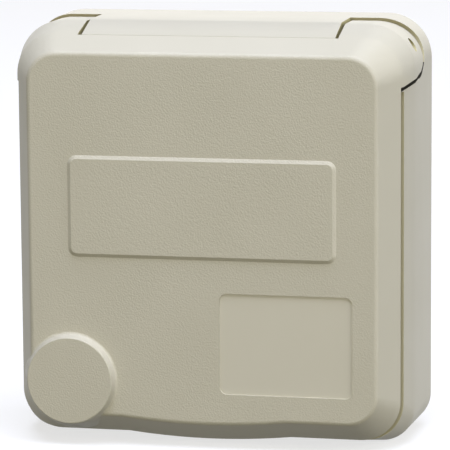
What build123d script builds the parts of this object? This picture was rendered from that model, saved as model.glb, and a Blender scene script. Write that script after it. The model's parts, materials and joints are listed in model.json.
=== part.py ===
from build123d import *
import os

os.makedirs("parts", exist_ok=True)

# Millimetres. X to the right, the front looks along -Y, Z up.
# The origin is the middle of the flange's rear face, so Y = 0 is the panel.

# Outer form of the frame: half width, top, bottom and corner radius at three depths
BACK_Y = 0.0
BACK_HALF_W = 50.0
BACK_HALF_H = 52.0
BACK_CORNER_R = 11.0
BACK_FOOT_R = 8.0
CREASE_Y = -23.0
CREASE_HALF_W = 49.6
CREASE_HALF_H = 51.55
CREASE_CORNER_R = 10.6
CREASE_FOOT_R = 8.2
PARTING_Y = -32.0
PARTING_HALF_W = 47.6
PARTING_TOP_Z = 48.55
PARTING_BOTTOM_Z = -49.75
PARTING_CORNER_R = 10.0
PARTING_GAP = 0.4
REBATE_DEPTH = 1.8
REBATE_W = 3.0

# Lid: front face, edge rounding and walls
FACE_Y = -40.0
FACE_HALF_W = 43.2
FACE_TOP_Z = 45.0
FACE_BOTTOM_Z = -44.45
FACE_CORNER_R = 7.5
FACE_EDGE_R = 1.5
LID_FRONT_WALL = 2.4
LID_SIDE_WALL = 2.8
EAR_STEP = 0.35
EAR_PROUD = 0.25
EAR_CORNER_EXTRA_R = 0.8
FLANK_OVERLAP = 1.0
CORE_EDGE_R = 1.0

# Raised field, sunk field and finger grip on the lid
FIELD_W = 66.6
FIELD_H = 25.0
FIELD_Z = 7.45
FIELD_RISE = 0.5
FIELD_BEVEL = 0.88
FIELD_CORNER_R = 2.3
SUNK_W = 32.8
SUNK_H = 24.9
SUNK_X = 20.8
SUNK_Z = -25.55
SUNK_DEPTH = 0.4
SUNK_CORNER_R = 1.8
GRIP_CHORD = 40.8
GRIP_RISE = 1.2
GRIP_FOOT = 3.0

# Round boss in the lower left corner, closed, where a lock can be fitted
BOSS_X = -33.05
BOSS_Z = -35.7
BOSS_TOP_R = 10.66
BOSS_RISE = 2.0
BOSS_SLOPE = 0.36
BOSS_FOOT_FILLET = 0.8
BOSS_TOP_EDGE = 0.25
BOSS_ROOT_Y = -34.0

# Hinge
AXIS_Y = -17.5
AXIS_BELOW_TOP = 5.75
SWEEP_GAP = 0.3
KNUCKLE_R = 6.8
KNUCKLE_GAP = 1.4
EAR_FOOT_Z = 36.9
EAR_BELOW_GAP = 1.1
EAR_INNER_X = 32.4
EAR_SIDE_GAP = 0.9
PIN_R = 1.6
PIN_RUNNING_GAP = 0.05
PIN_SEAT_GAP = 0.02
PIN_SUNK_X = 46.0
PIN_INNER_X = 21.6
PIN_TIP_CHAMFER = 0.3
SPRING_POCKET_R = 4.2
SPRING_POCKET_END_X = 26.0
SPRING_WIRE_R = 0.4
SPRING_MEAN_R = 3.0
SPRING_PITCH = 1.1
SPRING_TURNS = 3.5
SPRING_LEG = 2.6
SPRING_LEG_R = 0.42
SPRING_LEG_GAP = 0.12
SPRING_END_GAP = 0.4

# Walls of the frame
DECK_T = 3.2
CAVITY_HALF_W = 43.6
CAVITY_HALF_H = 45.5
CAVITY_CORNER_R = 6.0
HOUSING_INNER_X = 19.6
HOUSING_BELOW = 2.5
HOUSING_REAR_Y = -6.5
RIB_T = 2.0
RIB_BACK_Y = -6.0

# Panel fixing
BOLT_SPACING_X = 80.0
BOLT_SPACING_Z = 56.0
BOLT_HOLE_R = 2.65
BOLT_HEAD_R = 4.7
BOLT_FLOOR_T = 5.0
BOLT_BOSS_R = 7.0

# Panel gasket and its groove
PANEL_GASKET_W = 2.4
PANEL_GASKET_T = 1.6
PANEL_GASKET_INSET = 2.0

# Socket insert
PLATE_HALF = 29.0
PLATE_T = 3.0
PLATE_CORNER_R = 5.0
PLATE_EDGE_R = 0.8
RECESS_R = 19.8
RECESS_DEPTH = 17.5
RECESS_MOUTH_CHAMFER = 0.8
POT_WALL = 2.8
POT_FLOOR_T = 2.6
POT_GAP = 0.4
GUIDE_W = 4.4
GUIDE_RISE = 1.5
GUIDE_DEPTH = 12.0
GUIDE_ROOT = 0.5
CONTACT_SPACING = 19.0
CONTACT_HOLE_R = 2.65
CONTACT_HOLE_CHAMFER = 0.6
INSERT_GASKET_T = 1.0
INSERT_GASKET_HALF = 27.5

# Screws that hold the insert
INSERT_SCREW_SPACING = 49.0
INSERT_SCREW_R = 1.45
INSERT_HEAD_R = 2.9
INSERT_HEAD_T = 1.7
INSERT_HEAD_GAP = 0.3
INSERT_SCREW_LEN = 9.0
INSERT_BOSS_R = 4.2
THREAD_GAP = 0.05
SLOT_W = 0.8
SLOT_DEPTH = 0.8
HEAD_ROUND_SHARE = 1 / 3

# Lid gasket and the ring that carries it
SEAL_INNER_HALF = 31.4
SEAL_W = 2.6
SEAL_CORNER_R = 7.0
SEAL_HEIGHT = 3.7
SEAL_LIP_GAP = 0.1
RING_WALL = 1.0
RING_END_Y = -33.4

# Locating tab at the lower edge of the lid
TAB_W = 12.0
TAB_T = 1.8
TAB_Z = -43.4
TAB_END_Y = -27.0
TAB_GAP = 0.9
TAB_TIP_CHAMFER = 0.6

# Terminal base with its contacts
BASE_R = 21.6
BASE_REAR_Y = 7.0
BASE_REAR_WALL = 2.4
SLEEVE_INNER_R = 2.5
SLEEVE_WALL = 0.8
SLEEVE_SLIT = 0.7
SLEEVE_FRONT_GAP = 0.2
CLAMP_W = 6.8
CLAMP_H = 7.2
CLAMP_D = 6.5
CLAMP_POCKET_GAP = 0.15
WIRE_HOLE_R = 1.5
WIRE_CHANNEL_W = 4.4
TERMINAL_SCREW_R = 1.45
TERMINAL_HEAD_R = 2.6
TERMINAL_HEAD_T = 1.5
TERMINAL_ACCESS_GAP = 0.4
TERMINAL_SCREW_LEN = 2.4
BASE_SCREW_X = 13.0
BASE_SCREW_Z = 13.0
SLEEVE_END_GAP = 0.2
BASE_SCREW_R = 1.45
BASE_HEAD_R = 2.7
BASE_HEAD_T = 1.6
BASE_HEAD_DEPTH = 2.2
BASE_SCREW_BITE = 1.9

# Earth strip with its two spring clips
STRIP_T = 0.8
STRIP_W = 8.0
CLIP_W = 6.0
CLIP_FOOT_Z = 19.0
CLIP_KNEE_Y = -20.0
CLIP_NOSE_Z = 16.6
CLIP_NOSE_Y = -25.5
CLIP_TIP_Z = 18.6
CLIP_TIP_Y = -31.0
CLIP_SLOT_GAP = 0.6
EARTH_CLAMP_Z = -14.0

# Sizes that follow from the ones above
AXIS_Z = CREASE_HALF_H - AXIS_BELOW_TOP
CLAMP_CHAMFER = CLAMP_W / 12
DECK_Y = PARTING_Y + PARTING_GAP
PLATE_FRONT_Y = DECK_Y - PLATE_T
RECESS_FLOOR_Y = PLATE_FRONT_Y + RECESS_DEPTH
POT_END_Y = RECESS_FLOOR_Y + POT_FLOOR_T
POT_R = RECESS_R + POT_WALL
KNUCKLE_BOTTOM_Z = AXIS_Z - KNUCKLE_R
NOTCH_R = KNUCKLE_R + KNUCKLE_GAP
NOTCH_INNER_X = EAR_INNER_X - EAR_SIDE_GAP
NOTCH_FLOOR_Z = EAR_FOOT_Z - EAR_BELOW_GAP

# Reach of the bodies that only cut or limit, and how near two radii must be to count as the same
FAR = 120.0
SAME_R = 0.02


def facing(y):
    """The upright plane at depth y: its own x is X and its own y is Z."""
    return Plane.XZ.offset(-y)


def outline(y, half_w, top, bottom, radius, foot_radius=None):
    """One cross-section of the outer form, with round corners that may be tighter at the foot."""
    sheet = Pos(0, (top + bottom) / 2) * Rectangle(2 * half_w, top - bottom)
    sheet = fillet(sheet.vertices().sort_by(Axis.Y)[:2], foot_radius or radius)
    sheet = fillet(sheet.vertices().sort_by(Axis.Y)[-2:], radius)
    return facing(y) * sheet


def form(sections):
    """A body with straight flanks through a row of cross-sections."""
    return loft(Sketch() + [outline(*section) for section in sections], ruled=True)


def plate(y_from, y_to, width, height, radius, x=0.0, z=0.0):
    """A flat piece with round corners that fills the depth from y_from to y_to."""
    sheet = facing(y_to) * Pos(x, z) * RectangleRounded(width, height, radius)
    return extrude(sheet, y_to - y_from)


def block(x_from, x_to, y_from, y_to, z_from, z_to):
    """A box between two corners."""
    size = Box(x_to - x_from, y_to - y_from, z_to - z_from)
    return Pos((x_from + x_to) / 2, (y_from + y_to) / 2, (z_from + z_to) / 2) * size


def rod(y_from, y_to, radius, x=0.0, z=0.0):
    """A round bar that lies along Y."""
    return extrude(facing(y_to) * Pos(x, z) * Circle(radius), y_to - y_from)


def axle(x_from, x_to, radius):
    """A round bar on the hinge axis."""
    bar = Rot(0, 90, 0) * Cylinder(radius, x_to - x_from)
    return Pos((x_from + x_to) / 2, AXIS_Y, AXIS_Z) * bar


def cheek(x_from, x_to, y_front, drop):
    """A slab between two values of X whose underside rises from the parting line to the knuckle."""
    slope = (KNUCKLE_BOTTOM_Z - EAR_FOOT_Z) / (AXIS_Y - PARTING_Y)
    front_z = EAR_FOOT_Z + slope * (y_front - PARTING_Y) - drop
    corners = [(y_front, front_z), (AXIS_Y, KNUCKLE_BOTTOM_Z - drop), (AXIS_Y, FAR), (y_front, FAR)]
    side = make_face(Polyline(*corners, close=True))
    return extrude(Plane.YZ.offset(x_from) * side, x_to - x_from)


def both_sides(body):
    """The body and its twin on the left."""
    return body + mirror(body, about=Plane.YZ)


def corners(spacing_x, spacing_z):
    """The four corners of an upright rectangle round the middle."""
    return [(sx * spacing_x / 2, sz * spacing_z / 2) for sx in (-1, 1) for sz in (-1, 1)]


def between(start, end, share):
    """The value that lies the given share of the way from start to end."""
    return start + (end - start) * share


def screw(seat_y, head_r, head_t, shank_r, length, x, z, towards_front):
    """A slotted screw whose head sits on seat_y; the slot is cut in the head's free face."""
    out = -1.0 if towards_front else 1.0
    head_y = sorted((seat_y, seat_y + out * head_t))
    shank_y = sorted((seat_y, seat_y - out * length))
    slot_y = sorted((seat_y + out * head_t, seat_y + out * (head_t - SLOT_DEPTH)))
    body = rod(head_y[0], head_y[1], head_r, x, z)
    rim = body.edges().filter_by(GeomType.CIRCLE).sort_by(Axis.Y)
    body = fillet(rim[0] if towards_front else rim[-1], HEAD_ROUND_SHARE * head_t)
    body += rod(shank_y[0], shank_y[1], shank_r, x, z)
    slot = block(x - head_r, x + head_r, slot_y[0], slot_y[1], z - SLOT_W / 2, z + SLOT_W / 2)
    return body - slot


# Frame: drafted outer form, hollow from the rear behind a closed front deck
PARTING = (PARTING_HALF_W, PARTING_TOP_Z, PARTING_BOTTOM_Z, PARTING_CORNER_R)
CREASE = (CREASE_HALF_W, CREASE_HALF_H, -CREASE_HALF_H, CREASE_CORNER_R, CREASE_FOOT_R)
BACK = (BACK_HALF_W, BACK_HALF_H, -BACK_HALF_H, BACK_CORNER_R, BACK_FOOT_R)
frame_form = form([(DECK_Y, *PARTING), (CREASE_Y, *CREASE), (BACK_Y, *BACK)])
cavity = plate(DECK_Y + DECK_T, BACK_Y, 2 * CAVITY_HALF_W, 2 * CAVITY_HALF_H, CAVITY_CORNER_R)
frame = frame_form - cavity

# Solid housings round the two hinge notches, bolt bosses and ribs, all kept inside the form
inside = both_sides(
    block(HOUSING_INNER_X, FAR, DECK_Y, HOUSING_REAR_Y, NOTCH_FLOOR_Z - HOUSING_BELOW, FAR)
)
for bolt_x, bolt_z in corners(BOLT_SPACING_X, BOLT_SPACING_Z):
    inside += rod(DECK_Y, BACK_Y, BOLT_BOSS_R, bolt_x, bolt_z)
for screw_x, screw_z in corners(INSERT_SCREW_SPACING, INSERT_SCREW_SPACING):
    inside += rod(DECK_Y, DECK_Y + INSERT_SCREW_LEN, INSERT_BOSS_R, screw_x, screw_z)
collar = rod(DECK_Y, RIB_BACK_Y, POT_R + POT_GAP + RIB_T)
inside += collar
for sx in (-1, 1):
    rib_x = sorted((sx * POT_R, sx * FAR))
    inside += block(rib_x[0], rib_x[1], DECK_Y, RIB_BACK_Y, -RIB_T / 2, RIB_T / 2)
inside += block(-RIB_T / 2, RIB_T / 2, DECK_Y, RIB_BACK_Y, POT_R, FAR)
rib_end_z = TAB_Z + TAB_T / 2 + 2 * TAB_GAP
inside += block(-RIB_T / 2, RIB_T / 2, DECK_Y, RIB_BACK_Y, rib_end_z, -POT_R)
frame += inside & frame_form

# Notches that take the ears of the lid, open to the front and to the outside
notch = cheek(NOTCH_INNER_X, FAR, FACE_Y, EAR_BELOW_GAP)
notch += axle(NOTCH_INNER_X, FAR, NOTCH_R)
frame -= both_sides(notch)

# The bridge between the ears is rounded about the hinge axis, so the lid's edge swings past it
sweep_r = AXIS_Y - PARTING_Y - SWEEP_GAP
nose = block(-NOTCH_INNER_X, NOTCH_INNER_X, -FAR, AXIS_Y, AXIS_Z, FAR)
frame -= nose - axle(-FAR, FAR, sweep_r)

# A step round the sides and the bottom of the deck, so that the lid closes over a dark joint
step = block(-FAR, FAR, DECK_Y, DECK_Y + REBATE_DEPTH, -FAR, NOTCH_FLOOR_Z)
step -= plate(
    DECK_Y, DECK_Y + REBATE_DEPTH, 2 * (PARTING_HALF_W - REBATE_W),
    PARTING_TOP_Z - PARTING_BOTTOM_Z - 2 * REBATE_W, PARTING_CORNER_R - REBATE_W,
    z=(PARTING_TOP_Z + PARTING_BOTTOM_Z) / 2,
)
frame -= step

# Openings through the deck
frame -= rod(DECK_Y, BACK_Y, POT_R + POT_GAP)
gasket_w = 2 * INSERT_GASKET_HALF
frame -= plate(DECK_Y, DECK_Y + INSERT_GASKET_T, gasket_w, gasket_w, PLATE_CORNER_R)
tab_slot_y = DECK_Y + DECK_T
frame -= block(
    -TAB_W / 2 - TAB_GAP, TAB_W / 2 + TAB_GAP, DECK_Y, tab_slot_y,
    TAB_Z - TAB_T / 2 - TAB_GAP, TAB_Z + TAB_T / 2 + TAB_GAP,
)
for bolt_x, bolt_z in corners(BOLT_SPACING_X, BOLT_SPACING_Z):
    frame -= rod(DECK_Y, BACK_Y, BOLT_HOLE_R, bolt_x, bolt_z)
    frame -= rod(DECK_Y, BACK_Y - BOLT_FLOOR_T, BOLT_HEAD_R, bolt_x, bolt_z)
pilot_end = DECK_Y + INSERT_SCREW_LEN - SLOT_DEPTH
for screw_x, screw_z in corners(INSERT_SCREW_SPACING, INSERT_SCREW_SPACING):
    frame -= rod(DECK_Y, pilot_end, INSERT_SCREW_R + THREAD_GAP, screw_x, screw_z)


# Groove for the panel gasket in the rear face
def panel_ring(depth):
    """The ring shape shared by the groove and the gasket."""
    outer_w = 2 * (BACK_HALF_W - PANEL_GASKET_INSET)
    outer_h = 2 * (BACK_HALF_H - PANEL_GASKET_INSET)
    radius = BACK_CORNER_R - PANEL_GASKET_INSET
    ring = plate(BACK_Y - depth, BACK_Y, outer_w, outer_h, radius)
    inner_w = outer_w - 2 * PANEL_GASKET_W
    inner_h = outer_h - 2 * PANEL_GASKET_W
    return ring - plate(BACK_Y - depth, BACK_Y, inner_w, inner_h, radius - PANEL_GASKET_W)


frame -= panel_ring(PANEL_GASKET_T)

# Hinge bores: a seat for each pin, a pocket for each spring and a hole for the spring's fixed leg
leg_y = AXIS_Y + SPRING_MEAN_R
bores = axle(PIN_INNER_X, FAR, PIN_R + PIN_SEAT_GAP)
bores += axle(SPRING_POCKET_END_X, FAR, SPRING_POCKET_R)
fixed_leg = Rot(0, 90, 0) * Cylinder(SPRING_LEG_R + SPRING_LEG_GAP, 2 * SPRING_LEG)
bores += Pos(SPRING_POCKET_END_X, leg_y, AXIS_Z) * fixed_leg
frame -= both_sides(bores & block(0, NOTCH_INNER_X + EAR_SIDE_GAP / 2, -FAR, FAR, 0, FAR))

# Lid: the same flanks carried on behind the parting line, where only the ears reach
flank_end_y = PARTING_Y + FLANK_OVERLAP
past = (flank_end_y - FACE_Y) / (PARTING_Y - FACE_Y)
lid_form = form([
    (FACE_Y, FACE_HALF_W, FACE_TOP_Z, FACE_BOTTOM_Z, FACE_CORNER_R),
    (
        flank_end_y,
        between(FACE_HALF_W, PARTING_HALF_W, past),
        between(FACE_TOP_Z, PARTING_TOP_Z, past),
        between(FACE_BOTTOM_Z, PARTING_BOTTOM_Z, past),
        between(FACE_CORNER_R, PARTING_CORNER_R, past),
    ),
    (
        CREASE_Y, CREASE_HALF_W + EAR_PROUD, CREASE_HALF_H - EAR_STEP,
        -CREASE_HALF_H, CREASE_CORNER_R + EAR_CORNER_EXTRA_R,
    ),
    (
        AXIS_Y + NOTCH_R, CREASE_HALF_W + EAR_PROUD, CREASE_HALF_H - EAR_STEP,
        -CREASE_HALF_H, CREASE_CORNER_R + EAR_CORNER_EXTRA_R,
    ),
])


def grip_section(y, edge_z):
    """The shallow bow under the lid's lower edge at one depth."""
    left = (-GRIP_CHORD / 2, edge_z)
    right = (GRIP_CHORD / 2, edge_z)
    bow = ThreePointArc(left, (0, edge_z - GRIP_RISE), right)
    foot_z = edge_z + GRIP_FOOT
    foot = Polyline(right, (GRIP_CHORD / 2, foot_z), (-GRIP_CHORD / 2, foot_z), left)
    return facing(y) * make_face(bow + foot)


shell = lid_form & block(-FAR, FAR, -FAR, PARTING_Y, -FAR, FAR)
shell += loft(
    Sketch() + [grip_section(FACE_Y, FACE_BOTTOM_Z), grip_section(PARTING_Y, PARTING_BOTTOM_Z)],
    ruled=True,
)
ear = cheek(EAR_INNER_X, FAR, PARTING_Y - PARTING_GAP, 0.0) + axle(EAR_INNER_X, FAR, KNUCKLE_R)
ears = both_sides(ear) & lid_form
lid = shell + ears

# The front edge is rounded all the way round
front_edges = lid.faces().sort_by(Axis.Y)[0].edges()
lid = fillet(front_edges, FACE_EDGE_R)

# The boss flares out of the face on a small fillet and runs down over the flanks
boss_root_r = BOSS_TOP_R + BOSS_SLOPE * (BOSS_ROOT_Y - FACE_Y + BOSS_RISE)
boss_h = BOSS_ROOT_Y - FACE_Y + BOSS_RISE
boss = Cone(boss_root_r, BOSS_TOP_R, boss_h, align=(Align.CENTER, Align.CENTER, Align.MIN))
boss = fillet(boss.edges().sort_by(Axis.Z)[-1], BOSS_TOP_EDGE)
lid += Pos(BOSS_X, BOSS_ROOT_Y, BOSS_Z) * Rot(90, 0, 0) * boss
foot_r = BOSS_TOP_R + BOSS_SLOPE * BOSS_RISE
foot = lid.edges().filter_by(GeomType.CIRCLE).filter_by(lambda e: abs(e.radius - foot_r) < SAME_R)
lid = fillet(foot.sort_by(SortBy.LENGTH)[-1], BOSS_FOOT_FILLET)

# Raised field with bevelled sides, and the sunk field with its thin upright edge
field_foot = outline(
    FACE_Y, FIELD_W / 2, FIELD_Z + FIELD_H / 2, FIELD_Z - FIELD_H / 2, FIELD_CORNER_R,
)
field_top = outline(
    FACE_Y - FIELD_RISE, FIELD_W / 2 - FIELD_BEVEL, FIELD_Z + FIELD_H / 2 - FIELD_BEVEL,
    FIELD_Z - FIELD_H / 2 + FIELD_BEVEL, FIELD_CORNER_R - FIELD_BEVEL,
)
lid += loft(Sketch() + [field_foot, field_top], ruled=True)
lid -= plate(FACE_Y, FACE_Y + SUNK_DEPTH, SUNK_W, SUNK_H, SUNK_CORNER_R, SUNK_X, SUNK_Z)

# Hollow behind the face, left full where the ears join
inner_front = FACE_Y + LID_FRONT_WALL
slope_w = (PARTING_HALF_W - FACE_HALF_W) / (PARTING_Y - FACE_Y)
hollow = form([
    (
        inner_front,
        FACE_HALF_W + slope_w * LID_FRONT_WALL - LID_SIDE_WALL,
        FACE_TOP_Z - LID_SIDE_WALL / 2,
        FACE_BOTTOM_Z + LID_SIDE_WALL / 2,
        FACE_CORNER_R,
    ),
    (
        PARTING_Y,
        PARTING_HALF_W - LID_SIDE_WALL,
        PARTING_TOP_Z - LID_SIDE_WALL,
        PARTING_BOTTOM_Z + LID_SIDE_WALL,
        PARTING_CORNER_R - LID_SIDE_WALL / 2,
    ),
])
root = block(EAR_INNER_X - LID_SIDE_WALL, FAR, -FAR, FAR, EAR_FOOT_Z - LID_SIDE_WALL, FAR)
hollow -= both_sides(root)
lid -= hollow

# Each ear is cored from the lid's inside, so that no wall is much thicker than the rest
core_x = EAR_INNER_X + LID_SIDE_WALL
core = block(
    core_x, PARTING_HALF_W - PARTING_CORNER_R, inner_front, AXIS_Y - PIN_R - LID_FRONT_WALL,
    KNUCKLE_BOTTOM_Z + LID_FRONT_WALL / 2, AXIS_Z - LID_FRONT_WALL / 2,
)
core = fillet(core.edges().filter_by(Axis.Y), CORE_EDGE_R)
lid -= both_sides(core & block(core_x, FAR, inner_front, FAR, 0, FAR))

# Ring that carries the gasket
ring_outer = SEAL_INNER_HALF + SEAL_W + RING_WALL
ring_inner = SEAL_INNER_HALF - RING_WALL


def square_ring(y_from, y_to, outer_half, inner_half, radius):
    """A square ring with round corners; the radius belongs to its inner edge."""
    outer = plate(y_from, y_to, 2 * outer_half, 2 * outer_half, radius + outer_half - inner_half)
    return outer - plate(y_from, y_to, 2 * inner_half, 2 * inner_half, radius)


seal_outer = SEAL_INNER_HALF + SEAL_W
seal_end_y = DECK_Y - SEAL_LIP_GAP
seal_foot_y = seal_end_y - SEAL_HEIGHT
ring = square_ring(inner_front, RING_END_Y, ring_outer, ring_inner, SEAL_CORNER_R - RING_WALL)
ring -= square_ring(seal_foot_y, RING_END_Y, seal_outer, SEAL_INNER_HALF, SEAL_CORNER_R)
lid += ring

# Tab that finds its slot in the frame and keeps the closed lid from shifting
tab = block(-TAB_W / 2, TAB_W / 2, inner_front, TAB_END_Y, TAB_Z - TAB_T / 2, TAB_Z + TAB_T / 2)
tab_end = tab.edges().filter_by(Axis.X).group_by(Axis.Y)[-1]
lid += chamfer(tab_end, TAB_TIP_CHAMFER)

# Bores for the pins, and a hole in each ear for the moving leg of the spring
lid_bores = axle(0, FAR, PIN_R + PIN_RUNNING_GAP)
moving_leg = Rot(0, 90, 0) * Cylinder(SPRING_LEG_R + SPRING_LEG_GAP, 2 * SPRING_LEG)
lid_bores += Pos(EAR_INNER_X, AXIS_Y - SPRING_MEAN_R, AXIS_Z) * moving_leg
lid -= both_sides(lid_bores & block(NOTCH_INNER_X + EAR_SIDE_GAP / 2, FAR, -FAR, FAR, 0, FAR))

# Hinge pins, pushed in from outside and seated against the end of the bore
pin = axle(PIN_INNER_X, PIN_SUNK_X, PIN_R)
pin = chamfer(pin.edges().filter_by(GeomType.CIRCLE), PIN_TIP_CHAMFER)

# Torsion spring: a coil round the pin, one leg held by the frame and one by the ear
coil_len = SPRING_TURNS * SPRING_PITCH
coil_x = SPRING_POCKET_END_X + SPRING_WIRE_R + SPRING_END_GAP
path = Helix(SPRING_PITCH, coil_len, SPRING_MEAN_R)
wire_plane = Plane(origin=path @ 0, z_dir=path % 0)
coil = sweep(wire_plane * Circle(SPRING_WIRE_R), path=path, is_frenet=True)
coil = Pos(coil_x, AXIS_Y, AXIS_Z) * Rot(0, 90, 0) * Rot(0, 0, 90) * coil


def leg(bend_x, end_x, y):
    """A straight spring leg beside the hinge axis, carried through the last turn of the coil."""
    start_x = bend_x - SPRING_WIRE_R / 2 if end_x > bend_x else bend_x + SPRING_WIRE_R / 2
    bar = Rot(0, 90, 0) * Cylinder(SPRING_LEG_R, abs(end_x - start_x))
    return Pos((start_x + end_x) / 2, y, AXIS_Z) * bar


leg_tip = SPRING_LEG - SPRING_LEG_R
frame_leg = leg(coil_x, SPRING_POCKET_END_X - leg_tip, leg_y)
ear_leg = leg(coil_x + coil_len, EAR_INNER_X + leg_tip, AXIS_Y - SPRING_MEAN_R)
spring = coil + frame_leg + ear_leg

# Socket insert: a square plate with the round plug recess behind it
insert = plate(PLATE_FRONT_Y, DECK_Y, 2 * PLATE_HALF, 2 * PLATE_HALF, PLATE_CORNER_R)
insert = fillet(insert.faces().sort_by(Axis.Y)[0].edges(), PLATE_EDGE_R)
insert += rod(DECK_Y, POT_END_Y, POT_R)
insert -= rod(PLATE_FRONT_Y, RECESS_FLOOR_Y, RECESS_R)
mouth = insert.edges().filter_by(GeomType.CIRCLE).filter_by(lambda e: abs(e.radius - RECESS_R) < SAME_R)
insert = chamfer(mouth.sort_by(Axis.Y)[0], RECESS_MOUTH_CHAMFER)
for side in (-1, 1):
    guide_x = sorted((side * (RECESS_R - GUIDE_RISE), side * (RECESS_R + GUIDE_ROOT)))
    insert += block(
        guide_x[0], guide_x[1], RECESS_FLOOR_Y - GUIDE_DEPTH, RECESS_FLOOR_Y, -GUIDE_W / 2, GUIDE_W / 2,
    )
    insert -= rod(RECESS_FLOOR_Y, POT_END_Y, CONTACT_HOLE_R, side * CONTACT_SPACING / 2)
    clip_z = sorted((side * (CLIP_NOSE_Z + STRIP_T), side * (CLIP_FOOT_Z + STRIP_T + CLIP_SLOT_GAP)))
    insert -= block(
        -CLIP_W / 2 - CLIP_SLOT_GAP, CLIP_W / 2 + CLIP_SLOT_GAP,
        CLIP_TIP_Y - CLIP_SLOT_GAP, POT_END_Y, clip_z[0], clip_z[1],
    )
rims = insert.edges().filter_by(GeomType.CIRCLE)
rims = rims.filter_by(lambda e: abs(e.radius - CONTACT_HOLE_R) < SAME_R)
insert = chamfer(rims.group_by(Axis.Y)[0], CONTACT_HOLE_CHAMFER)
head_floor_y = PLATE_FRONT_Y + INSERT_HEAD_T + INSERT_HEAD_GAP
for sx in (-1, 1):
    for sz in (-1, 1):
        screw_x = sx * INSERT_SCREW_SPACING / 2
        screw_z = sz * INSERT_SCREW_SPACING / 2
        insert -= rod(PLATE_FRONT_Y, head_floor_y, INSERT_HEAD_R + INSERT_HEAD_GAP, screw_x, screw_z)
        insert -= rod(PLATE_FRONT_Y, DECK_Y, INSERT_SCREW_R + THREAD_GAP, screw_x, screw_z)
for sx in (-1, 1):
    bite_y = POT_END_Y - BASE_SCREW_BITE - THREAD_GAP
    insert -= rod(bite_y, POT_END_Y, BASE_SCREW_R + THREAD_GAP, sx * BASE_SCREW_X, BASE_SCREW_Z)

# Gasket between the plate and the deck
gasket_size = 2 * (INSERT_GASKET_HALF - THREAD_GAP)
insert_gasket = plate(DECK_Y, DECK_Y + INSERT_GASKET_T, gasket_size, gasket_size, PLATE_CORNER_R)
insert_gasket -= rod(DECK_Y, DECK_Y + INSERT_GASKET_T, POT_R + POT_GAP)
for sx in (-1, 1):
    for sz in (-1, 1):
        screw_x = sx * INSERT_SCREW_SPACING / 2
        screw_z = sz * INSERT_SCREW_SPACING / 2
        hole_r = INSERT_SCREW_R + INSERT_HEAD_GAP
        insert_gasket -= rod(DECK_Y, DECK_Y + INSERT_GASKET_T, hole_r, screw_x, screw_z)

lid_gasket = square_ring(seal_foot_y, seal_end_y, seal_outer, SEAL_INNER_HALF, SEAL_CORNER_R)
lip_edges = lid_gasket.faces().sort_by(Axis.Y)[-1].edges()
lid_gasket = fillet(lip_edges, SEAL_W / 4)

# Terminal base behind the pot, with a pocket for each clamp and a channel for each wire
clamp_rear_y = BASE_REAR_Y - BASE_REAR_WALL
clamp_front_y = clamp_rear_y - CLAMP_D
base = rod(POT_END_Y, BASE_REAR_Y, BASE_R)
base = fillet(base.edges().sort_by(Axis.Y)[-1], BASE_HEAD_T)
clamp_offset = CONTACT_SPACING / 2 + SLEEVE_INNER_R + SLEEVE_WALL / 2 + CLAMP_W / 2
clamp_spots = [(-clamp_offset, 0.0), (clamp_offset, 0.0), (0.0, EARTH_CLAMP_Z)]
sleeve_r = SLEEVE_INNER_R + SLEEVE_WALL
for clamp_x, clamp_z in clamp_spots:
    pocket_w = CLAMP_W / 2 + CLAMP_POCKET_GAP
    pocket_h = CLAMP_H / 2 + CLAMP_POCKET_GAP
    base -= block(
        clamp_x - pocket_w, clamp_x + pocket_w, POT_END_Y, clamp_rear_y,
        clamp_z - pocket_h, clamp_z + pocket_h,
    )
    access_r = TERMINAL_HEAD_R + TERMINAL_ACCESS_GAP
    base -= rod(clamp_rear_y, BASE_REAR_Y, access_r, clamp_x, clamp_z)
    base -= block(
        clamp_x - WIRE_CHANNEL_W / 2, clamp_x + WIRE_CHANNEL_W / 2,
        clamp_rear_y - WIRE_CHANNEL_W, clamp_rear_y, -FAR, clamp_z,
    )
for sx in (-1, 1):
    base -= rod(POT_END_Y, clamp_rear_y, sleeve_r + CLAMP_POCKET_GAP, sx * CONTACT_SPACING / 2)
base -= block(
    -STRIP_W / 2 - CLAMP_POCKET_GAP, STRIP_W / 2 + CLAMP_POCKET_GAP,
    POT_END_Y, POT_END_Y + STRIP_T, -FAR, FAR,
)
for sx in (-1, 1):
    shank_hole_r = BASE_SCREW_R + INSERT_HEAD_GAP
    base -= rod(POT_END_Y, BASE_REAR_Y, shank_hole_r, sx * BASE_SCREW_X, BASE_SCREW_Z)
    head_hole_r = BASE_HEAD_R + INSERT_HEAD_GAP
    base -= rod(BASE_REAR_Y - BASE_HEAD_DEPTH, BASE_REAR_Y, head_hole_r, sx * BASE_SCREW_X, BASE_SCREW_Z)


def clamp(x, z):
    """The brass block that grips the wire: a cross hole and a tapped hole from the rear."""
    half_w = CLAMP_W / 2
    half_h = CLAMP_H / 2
    body = block(x - half_w, x + half_w, clamp_front_y, clamp_rear_y, z - half_h, z + half_h)
    body = chamfer(body.edges().filter_by(Axis.Y), CLAMP_CHAMFER)
    wire_y = clamp_rear_y - WIRE_CHANNEL_W / 2 - WIRE_HOLE_R / 2
    body -= Pos(x, wire_y, z) * Cylinder(WIRE_HOLE_R, FAR)
    body -= rod(wire_y, clamp_rear_y, TERMINAL_SCREW_R + THREAD_GAP, x, z)
    return body


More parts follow.
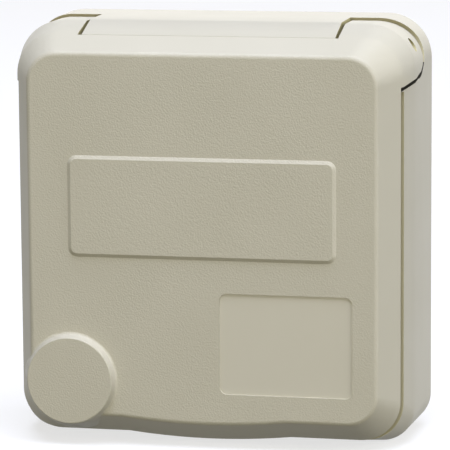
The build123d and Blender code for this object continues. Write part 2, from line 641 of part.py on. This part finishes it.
def line_contact(side):
    """A slit sleeve for the plug's pin, with the block that holds the wire beside its rear end."""
    x = side * CONTACT_SPACING / 2
    sleeve_y = POT_END_Y + SLEEVE_FRONT_GAP
    sleeve_end_y = clamp_rear_y - SLEEVE_END_GAP
    body = rod(sleeve_y, sleeve_end_y, sleeve_r, x) + clamp(side * clamp_offset, 0.0)
    body -= rod(sleeve_y, sleeve_end_y, SLEEVE_INNER_R, x)
    slit = block(x - SLEEVE_SLIT / 2, x + SLEEVE_SLIT / 2, sleeve_y, clamp_front_y - SLEEVE_WALL, -FAR, FAR)
    return body - slit


# Earth strip: bent from one band, its two clips reach forward into the plug recess
def clip(side):
    """One spring clip, drawn from the side and bent towards the plug."""
    points = [
        (POT_END_Y + STRIP_T / 2, 0.0),
        (POT_END_Y + STRIP_T / 2, CLIP_FOOT_Z + STRIP_T / 2),
        (CLIP_KNEE_Y, CLIP_FOOT_Z + STRIP_T / 2),
        (CLIP_NOSE_Y, CLIP_NOSE_Z + STRIP_T / 2),
        (CLIP_TIP_Y, CLIP_TIP_Z + STRIP_T / 2),
    ]
    bent = Polyline(*points)
    band = Plane.YZ * make_face(offset(bent, STRIP_T / 2, kind=Kind.INTERSECTION))
    body = extrude(band, CLIP_W / 2, both=True)
    return body if side > 0 else mirror(body, about=Plane.XY)


earth = clip(1) + clip(-1)
earth += block(
    -STRIP_W / 2, STRIP_W / 2, POT_END_Y, POT_END_Y + STRIP_T, -CLIP_FOOT_Z, CLIP_FOOT_Z,
)
neck_z = EARTH_CLAMP_Z + CLAMP_H / 2
earth += block(-CLIP_W / 2, CLIP_W / 2, POT_END_Y, clamp_front_y, neck_z - STRIP_T, neck_z)
earth += clamp(0.0, EARTH_CLAMP_Z)

export_step(frame, "parts/mounting_frame.step")
export_step(lid, "parts/lid.step")
export_step(lid_gasket, "parts/lid_gasket.step")
export_step(panel_ring(PANEL_GASKET_T), "parts/panel_gasket.step")
export_step(insert, "parts/socket_insert.step")
export_step(insert_gasket, "parts/insert_gasket.step")
export_step(base, "parts/terminal_base.step")
export_step(earth, "parts/earth_strip.step")
export_step(pin, "parts/hinge_pin_right.step")
export_step(mirror(pin, about=Plane.YZ), "parts/hinge_pin_left.step")
export_step(spring, "parts/hinge_spring_right.step")
export_step(mirror(spring, about=Plane.YZ), "parts/hinge_spring_left.step")

# The two line contacts and the three screws that grip the wires
for name, (clamp_x, clamp_z) in zip(("neutral", "line", "earth"), clamp_spots):
    if name != "earth":
        export_step(line_contact(-1 if clamp_x < 0 else 1), f"parts/{name}_contact.step")
    grip_screw = screw(
        clamp_rear_y, TERMINAL_HEAD_R, TERMINAL_HEAD_T, TERMINAL_SCREW_R,
        TERMINAL_SCREW_LEN, clamp_x, clamp_z, False,
    )
    export_step(grip_screw, f"parts/{name}_screw.step")

# Four screws from the front hold the insert, two from the rear hold the base
corners = [(sx, sz) for sx in (-1, 1) for sz in (-1, 1)]
for number, (sx, sz) in enumerate(corners, start=1):
    insert_screw = screw(
        head_floor_y, INSERT_HEAD_R, INSERT_HEAD_T, INSERT_SCREW_R, INSERT_SCREW_LEN,
        sx * INSERT_SCREW_SPACING / 2, sz * INSERT_SCREW_SPACING / 2, True,
    )
    export_step(insert_screw, f"parts/insert_screw_{number}.step")
base_head_y = BASE_REAR_Y - BASE_HEAD_DEPTH
base_screw_len = base_head_y - POT_END_Y + BASE_SCREW_BITE
for number, sx in enumerate((-1, 1), start=1):
    base_screw = screw(
        base_head_y, BASE_HEAD_R, BASE_HEAD_T, BASE_SCREW_R, base_screw_len,
        sx * BASE_SCREW_X, BASE_SCREW_Z, False,
    )
    export_step(base_screw, f"parts/base_screw_{number}.step")
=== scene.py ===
# %% [markdown]
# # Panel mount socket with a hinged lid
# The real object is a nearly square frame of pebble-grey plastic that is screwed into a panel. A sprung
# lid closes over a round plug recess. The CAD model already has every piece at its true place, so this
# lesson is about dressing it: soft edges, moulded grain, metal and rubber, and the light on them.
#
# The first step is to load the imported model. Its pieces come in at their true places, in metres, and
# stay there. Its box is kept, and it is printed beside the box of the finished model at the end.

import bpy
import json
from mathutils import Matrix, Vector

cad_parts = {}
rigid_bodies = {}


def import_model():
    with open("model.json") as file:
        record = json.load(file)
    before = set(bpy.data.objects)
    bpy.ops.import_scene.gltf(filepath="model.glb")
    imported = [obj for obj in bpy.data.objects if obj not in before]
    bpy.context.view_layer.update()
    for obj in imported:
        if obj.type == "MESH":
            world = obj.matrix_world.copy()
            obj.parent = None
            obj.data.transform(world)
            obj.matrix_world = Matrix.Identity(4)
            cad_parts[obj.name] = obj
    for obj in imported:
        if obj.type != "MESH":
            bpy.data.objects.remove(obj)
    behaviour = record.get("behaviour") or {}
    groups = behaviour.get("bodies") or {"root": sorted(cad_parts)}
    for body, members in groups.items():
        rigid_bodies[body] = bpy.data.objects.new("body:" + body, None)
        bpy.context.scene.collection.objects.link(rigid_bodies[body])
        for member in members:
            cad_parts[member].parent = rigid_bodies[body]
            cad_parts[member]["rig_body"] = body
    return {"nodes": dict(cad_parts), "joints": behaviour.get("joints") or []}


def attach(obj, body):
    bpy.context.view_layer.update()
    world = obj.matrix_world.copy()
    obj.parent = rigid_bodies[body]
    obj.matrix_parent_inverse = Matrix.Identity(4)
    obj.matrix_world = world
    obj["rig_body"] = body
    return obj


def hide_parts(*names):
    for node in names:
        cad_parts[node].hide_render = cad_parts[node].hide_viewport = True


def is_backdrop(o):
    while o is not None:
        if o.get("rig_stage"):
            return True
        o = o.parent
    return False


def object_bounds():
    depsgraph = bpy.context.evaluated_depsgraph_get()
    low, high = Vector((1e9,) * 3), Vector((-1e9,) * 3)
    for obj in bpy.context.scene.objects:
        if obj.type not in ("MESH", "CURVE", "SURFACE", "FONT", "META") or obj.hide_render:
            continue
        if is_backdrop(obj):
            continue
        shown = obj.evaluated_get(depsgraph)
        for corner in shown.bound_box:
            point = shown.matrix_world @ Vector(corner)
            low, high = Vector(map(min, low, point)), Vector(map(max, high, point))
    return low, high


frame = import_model()
cad_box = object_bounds()

# %% [markdown]
# ## Units and colours
# Blender works in metres and in linear light, while drawings are in millimetres and colour cards give
# sRGB values. Two small tools turn one into the other, so that every number below can be read as the
# real one.

# %% Millimetres and sRGB colours
import json
from math import radians

import bmesh
import bpy
from mathutils import Matrix, Vector

MM = 0.001


def linear(hex_colour):
    """An sRGB colour such as B1AC9C as the linear RGBA that a shader wants."""
    channels = [int(hex_colour[i:i + 2], 16) / 255 for i in (0, 2, 4)]
    return [c / 12.92 if c <= 0.04045 else ((c + 0.055) / 1.055) ** 2.4 for c in channels] + [1.0]


print("mid grey in linear light:", [round(c, 3) for c in linear("808080")[:3]])

# %% [markdown]
# ## Camera
# The photograph was taken with a long lens from slightly right and above. The viewpoint was worked out
# by fitting the straight edges of frame and lid, whose sizes are known from the CAD model. A long lens
# keeps the sides nearly parallel, and a tiny roll accounts for the last fraction of a pixel.

# %% Camera
PICTURE_PX = 450
FOCAL_PX = 3132.0
SENSOR_MM = 36.0
CAMERA_ROLL = radians(-0.416)

camera_data = bpy.data.cameras.new("product_camera")
camera_data.sensor_width = SENSOR_MM
camera_data.lens = FOCAL_PX / PICTURE_PX * SENSOR_MM
camera_data.clip_start = 0.05
camera_data.clip_end = 50.0
camera = bpy.data.objects.new("product_camera", camera_data)
bpy.context.scene.collection.objects.link(camera)
bpy.context.scene.camera = camera

eye = Vector((170.923, -767.976, 121.637)) * MM
aim = Vector((6.003, -40.0, 3.788)) * MM
gaze = (aim - eye).to_track_quat("-Z", "Y").to_matrix()
camera.location = eye
camera.rotation_euler = (gaze @ Matrix.Rotation(CAMERA_ROLL, 3, "Z")).to_euler()
print("lens", round(camera_data.lens, 1), "mm at", round((aim - eye).length, 3), "m")

# %% [markdown]
# ## A helper for materials
# A material is a small tree of nodes. One helper adds any node, sets its options, and either fills or
# links its inputs, so that each recipe below reads from top to bottom. Every pattern starts from Object
# coordinates, which are the true metres of the part, and its scale is given as a size in millimetres.


# %% Node helper
def new_material(name):
    """An empty node material, ready for a recipe."""
    material = bpy.data.materials.new(name)
    material.use_nodes = True
    material.node_tree.nodes.clear()
    return material


def add(material, kind, inputs=None, **settings):
    """Adds a node. An input is a plain value or the output socket of another node."""
    tree = material.node_tree
    node = tree.nodes.new(kind)
    for option, value in settings.items():
        setattr(node, option, value)
    for key, value in (inputs or {}).items():
        if isinstance(value, bpy.types.NodeSocket):
            tree.links.new(value, node.inputs[key])
        else:
            node.inputs[key].default_value = value
    return node


def per_metre(size_mm):
    """Pattern scale for features of this size in millimetres."""
    return 1.0 / (size_mm * MM)


# %% [markdown]
# ## Moulded pebble-grey plastic
# Frame and lid are injection moulded in a tough thermoplastic, coloured right through in pebble grey.
# The mould for the front of the lid was spark eroded, which leaves a fine, even grain; the flanks are
# only satin, and the floor of the sunk field is polished and so looks a little lighter. A grain can be
# made with displacement, with a normal map or with bump. It is a few hundredths of a millimetre deep,
# far too shallow to change the outline, so bump is the right tool. The real grain is finer than one
# pixel of the picture, so it is drawn coarser and deeper than it is, and shows as a faint mottle.


# %% Pebble-grey plastic, satin, grained and polished
CLOUD_MM = 22.0
PLASTIC_GLOSS_SPREAD = 0.04
PLASTIC_IOR = 1.5


def moulded_plastic(name, colours, roughness, grain_mm, grain_depth_mm, fade=None):
    """Injection-moulded plastic: cloudy tint, uneven gloss and the grain that the mould leaves.

    fade is a pair of depths in mm between which the grain grows from nothing to its full height.
    """
    material = new_material(name)
    place = add(material, "ShaderNodeTexCoord").outputs["Object"]
    clouds = add(material, "ShaderNodeTexNoise", {
        "Vector": place, "Scale": per_metre(CLOUD_MM), "Detail": 2.0,
    })
    tint = add(material, "ShaderNodeMix", {
        "Factor": clouds.outputs["Fac"], 6: linear(colours[0]), 7: linear(colours[1]),
    }, data_type="RGBA")
    gloss = add(material, "ShaderNodeMapRange", {
        "Value": clouds.outputs["Fac"],
        "To Min": roughness - PLASTIC_GLOSS_SPREAD, "To Max": roughness + PLASTIC_GLOSS_SPREAD,
    })
    fine = add(material, "ShaderNodeTexNoise", {
        "Vector": place, "Scale": per_metre(grain_mm), "Detail": 2.0, "Roughness": 0.6,
    })
    height = fine.outputs["Fac"]
    if fade:
        depth = add(material, "ShaderNodeSeparateXYZ", {"Vector": place})
        amount = add(material, "ShaderNodeMapRange", {
            "Value": depth.outputs["Y"], "From Min": fade[0] * MM, "From Max": fade[1] * MM,
        }, interpolation_type="SMOOTHSTEP")
        height = add(material, "ShaderNodeMath", {
            0: height, 1: amount.outputs["Result"],
        }, operation="MULTIPLY").outputs["Value"]
    bump = add(material, "ShaderNodeBump", {
        "Height": height, "Distance": grain_depth_mm * MM, "Strength": 1.0,
    })
    surface = add(material, "ShaderNodeBsdfPrincipled", {
        "Base Color": tint.outputs[2], "Roughness": gloss.outputs["Result"],
        "Normal": bump.outputs["Normal"], "IOR": PLASTIC_IOR,
    })
    add(material, "ShaderNodeOutputMaterial", {"Surface": surface.outputs["BSDF"]})
    return material


PEBBLE_GREY = ("B5B1A2", "AFAB9B")
POLISHED_GREY = ("BCB8AA", "B8B4A5")
GRAIN_FADE_MM = (-38.6, -39.9)

satin_grey = moulded_plastic("moulded_plastic_pebble_grey_satin", PEBBLE_GREY, 0.46, 0.5, 0.002)
grained_grey = moulded_plastic(
    "moulded_plastic_pebble_grey_spark_grain", PEBBLE_GREY, 0.55, 0.42, 0.085, GRAIN_FADE_MM,
)
polished_grey = moulded_plastic("moulded_plastic_pebble_grey_polished", POLISHED_GREY, 0.4, 0.6, 0.002)
print("plastics:", satin_grey.name, grained_grey.name, polished_grey.name)

# %% [markdown]
# ## Plastics and rubber behind the lid
# The insert that takes the plug is a harder, dark plastic that stands the heat of the contacts, and the
# base behind it is the same stuff in black. The seals are soft rubber, which scatters nearly all light
# and shows a faint grey bloom. The recipe for the outer plastic serves all of them: only the colours,
# the gloss and the grain change.

# %% Dark plastics and rubber
insert_dark = moulded_plastic("moulded_polyamide_anthracite", ("3F4143", "3A3C3E"), 0.42, 0.6, 0.006)
base_black = moulded_plastic("moulded_polyamide_black", ("2A2B2C", "262728"), 0.45, 0.6, 0.006)
seal_rubber = moulded_plastic("moulded_rubber_black", ("232323", "2D2D2C"), 0.78, 0.35, 0.01)
print("dark materials:", insert_dark.name, base_black.name, seal_rubber.name)

# %% [markdown]
# ## Metals
# Screws are zinc plated steel, pins and springs are drawn stainless steel, the contacts are stamped
# brass, and the earth strip has a coat of nickel. All of them have a direction from how they were made:
# drawing and stamping leave fine lines. Noise stretched along one axis gives those lines, in the
# roughness as well as in the bump.


# %% Plated steel, stainless steel, brass and nickel
METAL_GLOSS_SPREAD = 0.08


def drawn_metal(name, colours, roughness, line_mm, stretch, line_depth_mm):
    """Metal with fine lines from rolling or drawing.

    stretch gives the scale of the pattern along X, Y and Z.
    """
    material = new_material(name)
    place = add(material, "ShaderNodeTexCoord").outputs["Object"]
    along = add(material, "ShaderNodeMapping", {"Vector": place, "Scale": stretch})
    lines = add(material, "ShaderNodeTexNoise", {
        "Vector": along.outputs["Vector"], "Scale": per_metre(line_mm), "Detail": 3.0,
    })
    tint = add(material, "ShaderNodeMix", {
        "Factor": lines.outputs["Fac"], 6: linear(colours[0]), 7: linear(colours[1]),
    }, data_type="RGBA")
    gloss = add(material, "ShaderNodeMapRange", {
        "Value": lines.outputs["Fac"],
        "To Min": roughness - METAL_GLOSS_SPREAD, "To Max": roughness + METAL_GLOSS_SPREAD,
    })
    bump = add(material, "ShaderNodeBump", {
        "Height": lines.outputs["Fac"], "Distance": line_depth_mm * MM, "Strength": 1.0,
    })
    surface = add(material, "ShaderNodeBsdfPrincipled", {
        "Base Color": tint.outputs[2], "Metallic": 1.0, "Roughness": gloss.outputs["Result"],
        "Normal": bump.outputs["Normal"],
    })
    add(material, "ShaderNodeOutputMaterial", {"Surface": surface.outputs["BSDF"]})
    return material


NO_STRETCH = (1.0, 1.0, 1.0)
ALONG_X = (0.08, 1.0, 1.0)
ALONG_Y = (1.0, 0.15, 1.0)

plated_steel = drawn_metal("zinc_plated_steel", ("C9CCD0", "B4B7BC"), 0.32, 0.5, NO_STRETCH, 0.003)
pin_steel = drawn_metal("drawn_stainless_steel", ("C6C5C2", "AFAEAB"), 0.28, 0.4, ALONG_X, 0.002)
spring_steel = drawn_metal("stainless_spring_wire", ("B9B8B5", "9E9D9A"), 0.3, 0.3, NO_STRETCH, 0.002)
contact_brass = drawn_metal("stamped_brass", ("D8B86A", "C4A257"), 0.3, 0.5, ALONG_Y, 0.003)
earth_nickel = drawn_metal("nickel_plated_brass", ("CFC9BC", "BDB7A9"), 0.27, 0.5, ALONG_Y, 0.003)
metals = (plated_steel, pin_steel, spring_steel, contact_brass, earth_nickel)
print("metals:", [metal.name for metal in metals])

# %% [markdown]
# ## Dressing a piece
# A CAD solid has perfectly sharp edges, and nothing real has. A moulded edge is rounded by a tenth or
# two of a millimetre, and that tiny round catches a line of light along every parting line and slit.
# The CAD mesh is loose triangles, so a copy is merged, its flat areas are made whole again, and then
# every sharp edge is bevelled. The copy stands for the CAD node and moves with the same body. The
# rounding could be modelled by hand on each edge, but a Bevel modifier with an angle limit finds them
# all, and weighted normals keep the big flat faces looking flat beside it.


# %% Merge and soften a copy of a CAD piece
MERGE_MM = 0.002
FLAT = radians(0.6)
SHARP = radians(22)


def dressed(node, edge_mm, materials):
    """A softened copy of a CAD node that stands for it."""
    source = frame["nodes"][node]
    shape = bmesh.new()
    shape.from_mesh(source.data)
    bmesh.ops.remove_doubles(shape, verts=shape.verts, dist=MERGE_MM * MM)
    bmesh.ops.dissolve_limit(
        shape, angle_limit=FLAT, verts=shape.verts, edges=shape.edges, delimit={"NORMAL"},
    )
    for face in shape.faces:
        face.smooth = True
        face.material_index = 0
    for edge in shape.edges:
        edge.smooth = not (edge.is_manifold and edge.calc_face_angle() > SHARP)
    mesh = bpy.data.meshes.new(node + "_softened")
    shape.to_mesh(mesh)
    shape.free()
    for material in materials:
        mesh.materials.append(material)
    piece = bpy.data.objects.new(node + "_softened", mesh)
    bpy.context.scene.collection.objects.link(piece)
    soften = piece.modifiers.new("softened edges", "BEVEL")
    soften.width = edge_mm * MM
    soften.segments = 2
    soften.limit_method = "ANGLE"
    soften.angle_limit = SHARP
    soften.material = 0
    flat = piece.modifiers.new("flat faces stay flat", "WEIGHTED_NORMAL")
    flat.weight = 100
    flat.keep_sharp = True
    body = source["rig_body"]
    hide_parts(node)
    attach(piece, body)
    print(piece.name, "rides on", body, "with", len(mesh.polygons), "faces")
    return piece


# %% [markdown]
# ## Walls inside the gaps
# Lid and frame never touch: a narrow gap runs round the lid and round its two ears. The walls inside it
# are matt, and they are painted with shade: an olive tint on the open gap that turns brown in the slits
# beside the ears and nearly black below them, one colour for each depth, where light alone would leave
# them grey. The hinge axis is read from the model, because the walls round the knuckles are found by
# their distance from it. Other walls are found by how near they lie to a plane and by how far their
# normal points along an axis.

# %% Painted shade on the gap walls
# Three tints of painted shade: olive for the open gap, brown for the slits, nearly black deep down.
open_gap_painted_shade = moulded_plastic(
    "pebble_grey_painted_shade_open_gap", ("C0B896", "B9B18F"), 0.7, 0.5, 0.004,
)
slit_painted_shade = moulded_plastic(
    "pebble_grey_painted_shade_slit_walls", ("B0A87F", "A59D75"), 0.75, 0.5, 0.004,
)
deep_gap_painted_shade = moulded_plastic(
    "pebble_grey_painted_shade_deep_gap", ("2E2A1E", "26231A"), 0.8, 0.5, 0.004,
)
AXIS_MM = Vector(frame["joints"][0]["pos_m"]) / MM
NEAR_MM = 0.1
SQUARE_ON = 0.9
SLANTED = 0.3
EDGE_ON = 0.2
TOWARDS = 0.1


def from_axis(point_mm):
    """Distance of a point from the hinge axis, which runs along X."""
    return Vector((point_mm[1] - AXIS_MM[1], point_mm[2] - AXIS_MM[2])).length


print("hinge axis at y, z =", [round(value, 2) for value in AXIS_MM[1:]], "mm")

# %% [markdown]
# ## Lid
# The grain covers the front of the lid, the raised field and the top of the boss. The sunk field was a
# polished insert in the mould, so its floor stays smooth. Each face is given one of the materials by
# where it lies, and the grain itself fades out over the rounded edge. A paint mask could do the same,
# but the border of each finish on a moulded piece follows an edge of its shape, as faces do.

# %% Lid with its grained front
MOULDED_EDGE_MM = 0.18
SUNK_X_MM = (4.4, 37.2)
SUNK_Z_MM = (-38.0, -13.1)
LID_REAR_MM = -32.0
EAR_INNER_MM = 32.4
EAR_LOWEST_MM = 30.0
PIN_HOLE_MM = 1.9
# Slots 3 and 4 of the lid hold painted shade for the slits and pin hole, and for the deepest gaps.
SATIN, GRAINED, POLISHED, SLIT_SHADE, DEEP_GAP_SHADE = 0, 1, 2, 3, 4


def painted_shade_of_lid(x, y, z, normal):
    """The painted shade of the lid's rear rim and of the walls of its ears that face the frame, or None.
    """
    rim = normal.y > SQUARE_ON and abs(y - LID_REAR_MM) < NEAR_MM
    ear = y > LID_REAR_MM and z > EAR_LOWEST_MM and abs(x) > EAR_INNER_MM - NEAR_MM
    inner_wall = abs(abs(x) - EAR_INNER_MM) < NEAR_MM and abs(normal.x) > SQUARE_ON
    underside = normal.z < -SLANTED
    pin_hole = from_axis((x, y, z)) < PIN_HOLE_MM and abs(normal.x) < SLANTED
    if ear and (inner_wall or pin_hole):
        return SLIT_SHADE
    return DEEP_GAP_SHADE if rim or (ear and underside) else None


lid_finishes_and_shades = [satin_grey, grained_grey, polished_grey, slit_painted_shade, deep_gap_painted_shade]
lid = dressed("lid", MOULDED_EDGE_MM, lid_finishes_and_shades)
faces_of_finish_or_shade = [0] * len(lid_finishes_and_shades)
for face in lid.data.polygons:
    x, y, z = face.center / MM
    in_sunk = SUNK_X_MM[0] < x < SUNK_X_MM[1] and SUNK_Z_MM[0] < z < SUNK_Z_MM[1]
    painted_gap_shade = painted_shade_of_lid(x, y, z, face.normal)
    # Walls in the gaps get painted shade in place of the lit plastic colour.
    if painted_gap_shade is not None:
        face.material_index = painted_gap_shade
    elif y < GRAIN_FADE_MM[0] and face.normal.y < -EDGE_ON:
        face.material_index = POLISHED if in_sunk else GRAINED
    faces_of_finish_or_shade[face.material_index] += 1
print("faces of the lid, satin, grained, polished, in a slit and deep in a gap:", faces_of_finish_or_shade)

# %% [markdown]
# ## Frame
# The frame is moulded in the same plastic as the lid. Its draft and its rounded corners are in the CAD
# model already, and only its edges need the same softening, so that the two sides of the parting line
# look alike. Its walls with painted gap shade are the two notches for the ears and the step round the
# deck.

# %% Frame
NOTCH_INNER_MM = 31.5
NOTCH_LOWEST_MM = 33.0
NOTCH_FLOOR_TOP_MM = 41.0
NOTCH_REACH_MM = 18.0
KNUCKLE_REACH_MM = 9.0
STEP_INNER_MM = 44.6
STEP_FLOOR_MM = -29.8
STEP_FROM_MIDDLE_MM = 40.0
DECK_MM = -31.6
# Slots 1 to 3 of the frame hold painted shade: the open gap, the slit beside an ear, the floor below it.
OPEN_GAP_SHADE, SHADE_BESIDE_EAR, SHADE_BELOW_EAR = 1, 2, 3


def painted_shade_of_frame(x, y, z, normal):
    """The painted shade of the walls of the notches and of the step round the deck, or satin."""
    axis_mm = from_axis((x, y, z))
    notch = abs(x) > NOTCH_INNER_MM - NEAR_MM and z > NOTCH_LOWEST_MM and axis_mm < NOTCH_REACH_MM
    inner_wall = notch and abs(abs(x) - NOTCH_INNER_MM) < NEAR_MM and abs(normal.x) > SQUARE_ON
    round_wall = notch and axis_mm < KNUCKLE_REACH_MM and normal.y < -TOWARDS
    floor_wall = notch and z < NOTCH_FLOOR_TOP_MM and normal.z > SLANTED
    step_floor = normal.y < -SQUARE_ON and abs(y - STEP_FLOOR_MM) < NEAR_MM
    in_step = DECK_MM - NEAR_MM < y < STEP_FLOOR_MM + NEAR_MM and abs(x) < STEP_INNER_MM + NEAR_MM
    step_wall = in_step and abs(normal.y) < EDGE_ON and max(abs(x), abs(z)) > STEP_FROM_MIDDLE_MM
    if floor_wall:
        return SHADE_BELOW_EAR
    if inner_wall:
        return SHADE_BESIDE_EAR
    return OPEN_GAP_SHADE if round_wall or step_floor or step_wall else SATIN


frame_finishes_and_shades = [satin_grey, open_gap_painted_shade, slit_painted_shade, deep_gap_painted_shade]
mounting_frame = dressed("mounting_frame", MOULDED_EDGE_MM, frame_finishes_and_shades)
# Walls of the notches and of the step get painted shade; every other face stays satin.
for face in mounting_frame.data.polygons:
    x, y, z = face.center / MM
    face.material_index = painted_shade_of_frame(x, y, z, face.normal)
painted_shade_faces = sum(face.material_index != SATIN for face in mounting_frame.data.polygons)
print("gap faces of the frame:", painted_shade_faces)

# %% [markdown]
# ## Pieces behind the lid
# The insert, the base and the seals are moulded too, the contacts are bent from sheet, and the screws
# are turned. Their CAD shapes are right, so they get the same dressing with a smaller rounding: about a
# tenth of a millimetre on plastic and metal, and a little more on rubber. One table holds the finish
# and the rounding of each, and a screw is the finish for every name that isn't in it.

# %% Finishes of the small pieces
SCREW_DRESS = (plated_steel, 0.08)
DRESS = {
    "lid_gasket": (seal_rubber, 0.2),
    "panel_gasket": (seal_rubber, 0.2),
    "insert_gasket": (seal_rubber, 0.1),
    "socket_insert": (insert_dark, 0.15),
    "terminal_base": (base_black, 0.15),
    "earth_strip": (earth_nickel, 0.08),
    "neutral_contact": (contact_brass, 0.08),
    "line_contact": (contact_brass, 0.08),
    "hinge_pin_left": (pin_steel, 0.1),
    "hinge_pin_right": (pin_steel, 0.1),
    "hinge_spring_left": (spring_steel, 0.0),
    "hinge_spring_right": (spring_steel, 0.0),
}
for name in sorted(frame["nodes"]):
    if name in ("lid", "mounting_frame"):
        continue
    finish, rounding_mm = DRESS.get(name, SCREW_DRESS)
    if rounding_mm:
        dressed(name, rounding_mm, [finish])
    else:
        wire = frame["nodes"][name]
        wire.data.materials.clear()
        wire.data.materials.append(finish)

# %% [markdown]
# ## Floor
# The socket stands on a pale floor. To the camera the floor is white; to the light that bounces from it
# on to the underside it is a dark warm grey, because in a studio the table is far below the product and
# sends little light back up. A plain white floor would be simpler, but it would lift the underside far
# too much. Part of the white is given off by the paper itself, so that the shadow under the socket stays
# soft and pale.

# %% Floor
FLOOR_SIDE_MM = 12000
FLOOR_GAP_MM = 0.02
OWN_WHITE = 0.7

floor_shape = bmesh.new()
bmesh.ops.create_grid(floor_shape, x_segments=1, y_segments=1, size=FLOOR_SIDE_MM / 2 * MM)
bmesh.ops.translate(floor_shape, verts=floor_shape.verts, vec=(0, 0, cad_box[0][2] - FLOOR_GAP_MM * MM))
floor_mesh = bpy.data.meshes.new("studio_floor")
floor_shape.to_mesh(floor_mesh)
floor_shape.free()
floor = bpy.data.objects.new("studio_floor", floor_mesh)
bpy.context.scene.collection.objects.link(floor)
floor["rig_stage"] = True


def seen_rays(material):
    """One for rays from the camera, from a mirror or through glass, and nought for the light's own."""
    ray = add(material, "ShaderNodeLightPath")
    seen = ray.outputs["Is Camera Ray"]
    for other in ("Is Glossy Ray", "Is Transmission Ray"):
        both = add(material, "ShaderNodeMath", {0: seen, 1: ray.outputs[other]}, operation="MAXIMUM")
        seen = both.outputs["Value"]
    return seen


paper = new_material("white_background_paper")
bounce = add(paper, "ShaderNodeBsdfDiffuse", {"Color": linear("1F1D15")})
lit_white = add(paper, "ShaderNodeBsdfDiffuse", {"Color": linear("FAFAFA")})
own_white = add(paper, "ShaderNodeEmission", {"Color": linear("FFFFFF"), "Strength": 1.0})
white = add(paper, "ShaderNodeMixShader", {
    0: OWN_WHITE, 1: lit_white.outputs["BSDF"], 2: own_white.outputs["Emission"],
})
mixed = add(paper, "ShaderNodeMixShader", {
    0: seen_rays(paper), 1: bounce.outputs["BSDF"], 2: white.outputs["Shader"],
})
add(paper, "ShaderNodeOutputMaterial", {"Surface": mixed.outputs["Shader"]})
floor.data.materials.append(paper)
print("floor at z =", round(floor.data.vertices[0].co.z, 4))

# %% [markdown]
# ## Light
# The tops are bright, the right flank a little brighter than the front, the left flank darker and the
# underside darkest. That is a strong softbox overhead and two about half as strong, one to the right and
# one in front. They stand more than two metres away, so that the light is as strong at the foot of the
# part as at its top, and they are large, which keeps every shadow soft. The overhead box is a little
# cooler than the front one, as daylight from above is beside a lamp, and a weak fourth box lights the
# rear for views from there. The white surroundings add little light, but gloss shows them as they are.


# %% Softboxes and background
SOFTBOX_MM = 1800


def softbox(name, place_mm, power, tint):
    """A large square area lamp that points at the middle of the socket."""
    lamp = bpy.data.lights.new(name, "AREA")
    lamp.shape = "SQUARE"
    lamp.size = SOFTBOX_MM * MM
    lamp.energy = power
    lamp.color = linear(tint)[:3]
    holder = bpy.data.objects.new(name, lamp)
    holder.location = Vector(place_mm) * MM
    holder.rotation_euler = (-holder.location).to_track_quat("-Z", "Y").to_euler()
    bpy.context.scene.collection.objects.link(holder)


softbox("softbox_top", (200, -600, 2300), 97.0, "E6EBFF")
softbox("softbox_right", (2150, -700, 650), 44.0, "FFFEF9")
softbox("softbox_front", (-300, -2600, 0), 53.5, "FFF8D8")
softbox("softbox_back", (-300, 2600, 0), 16.0, "FFF4DC")

SURROUNDINGS = 0.05
world = bpy.data.worlds.new("studio")
bpy.context.scene.world = world
world.use_nodes = True
world.node_tree.nodes.clear()
sky_level = add(world, "ShaderNodeMapRange", {
    "Value": seen_rays(world), "To Min": SURROUNDINGS, "To Max": 1.0,
})
sky = add(world, "ShaderNodeBackground", {
    "Color": linear("FFFFFF"), "Strength": sky_level.outputs["Result"],
})
add(world, "ShaderNodeOutputWorld", {"Surface": sky.outputs["Background"]})

bpy.context.scene.view_settings.view_transform = "Standard"
print("lamps:", [lamp.name for lamp in bpy.data.lights])

# %% [markdown]
# ## Boxes and finish
# Dressing must not change the size of the object. The box of the CAD model was kept at the start, and
# here it is written beside the box of the dressed one.

# %% Print the boxes and finish
visual_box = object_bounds()
for label, box in (("CAD box", cad_box), ("visual box", visual_box)):
    print(label, [[round(value / MM, 2) for value in corner] for corner in box], "mm")
